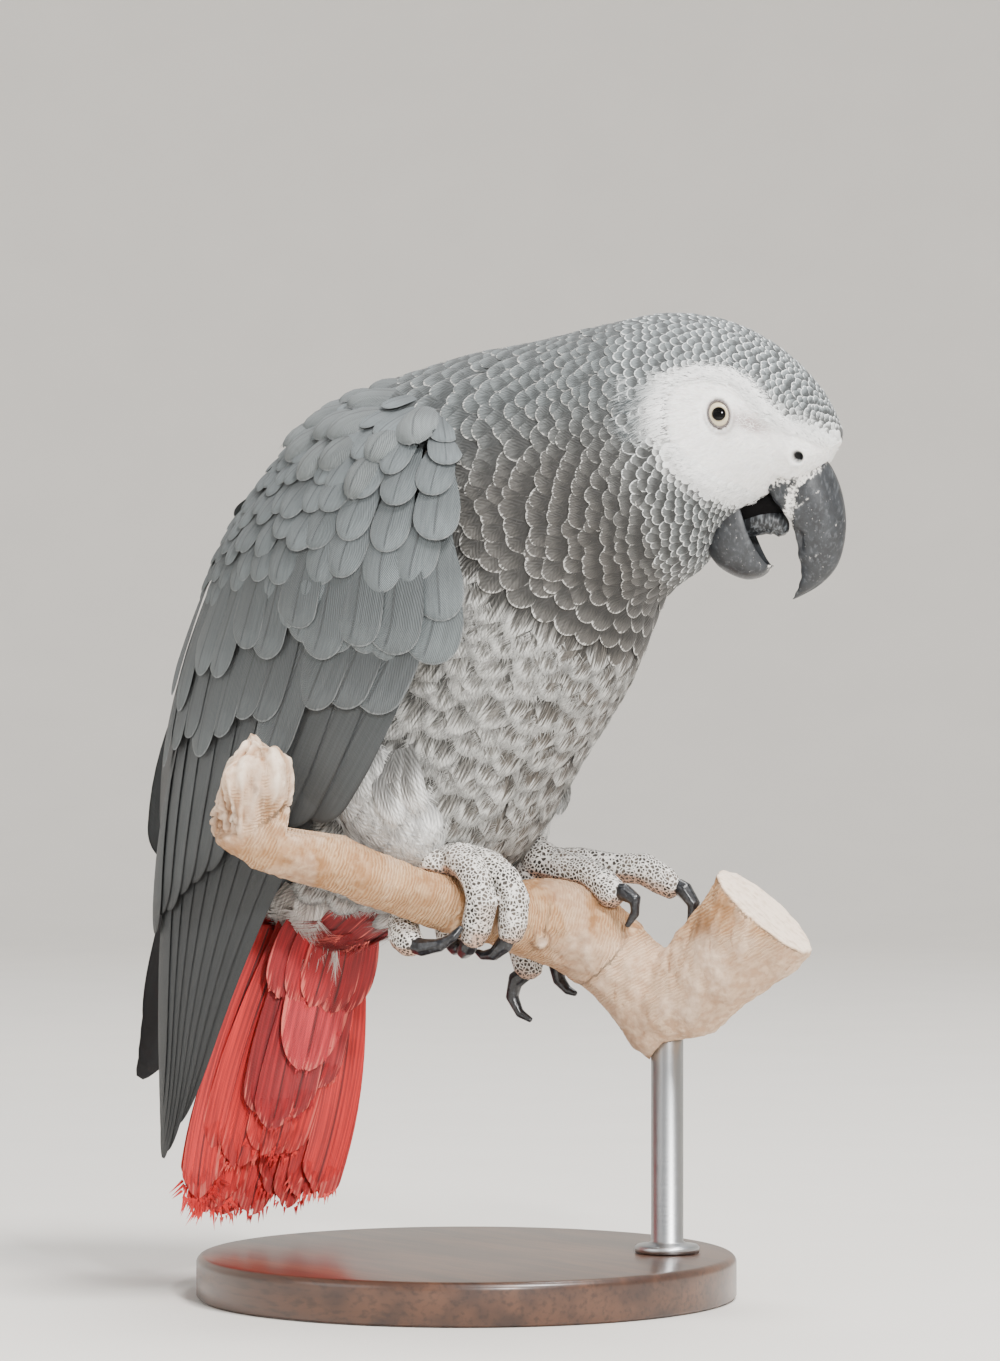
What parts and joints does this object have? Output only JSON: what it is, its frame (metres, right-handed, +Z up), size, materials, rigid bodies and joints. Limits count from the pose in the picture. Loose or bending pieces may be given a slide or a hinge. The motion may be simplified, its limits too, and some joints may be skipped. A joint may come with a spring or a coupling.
{
  "type": "grey parrot on a perch with display stand",
  "caption": "Life-size grey parrot gripping a short driftwood perch, leaning down with open bill, on a round display stand.",
  "frame": {"origin": "centre of the underside of the stand's base", "axes": "+Z up, +X the way the bird's body faces, +Y the bird's left side"},
  "size_m": [0.231, 0.1545, 0.2701],
  "materials": {
    "plumage_grey": "soft overlapping body feathers, silver grey with paler rims",
    "flight_feather": "stiff vaned feathers, slate grey to near black",
    "tail_red": "vaned scarlet tail feathers with dark shafts",
    "bill_horn": "slate-black horn with a dusting of white powder",
    "claw_horn": "polished black horn",
    "foot_skin": "pale grey pebbled scales with dark pits",
    "eye": "pale straw iris, black pupil, wet cornea",
    "driftwood": "bare weathered driftwood, satin",
    "stand_wood": "dark stained turned hardwood, satin varnish",
    "stand_steel": "brushed steel rod"
  },
  "bodies": {
    "root": {"bill_lower": "bill_horn", "bill_upper": "bill_horn", "claw_left_inner": "claw_horn", "claw_left_outer": "claw_horn", "claw_left_rear": "claw_horn", "claw_left_rear_outer": "claw_horn", "claw_right_inner": "claw_horn", "claw_right_outer": "claw_horn", "claw_right_rear": "claw_horn", "claw_right_rear_inner": "claw_horn", "eye_left": "eye", "eye_right": "eye", "head": "plumage_grey", "neck": "plumage_grey", "perch": "driftwood", "shank_left": "foot_skin", "shank_right": "foot_skin", "stand_base": "stand_wood", "stand_rod": "stand_steel", "tail": "tail_red", "thigh_left": "plumage_grey", "thigh_right": "plumage_grey", "toe_left_inner": "foot_skin", "toe_left_outer": "foot_skin", "toe_left_rear": "foot_skin", "toe_left_rear_outer": "foot_skin", "toe_right_inner": "foot_skin", "toe_right_outer": "foot_skin", "toe_right_rear": "foot_skin", "toe_right_rear_inner": "foot_skin", "tongue": "bill_horn", "torso": "plumage_grey", "wing_left": "flight_feather", "wing_right": "flight_feather"}
  },
  "joints": []
}
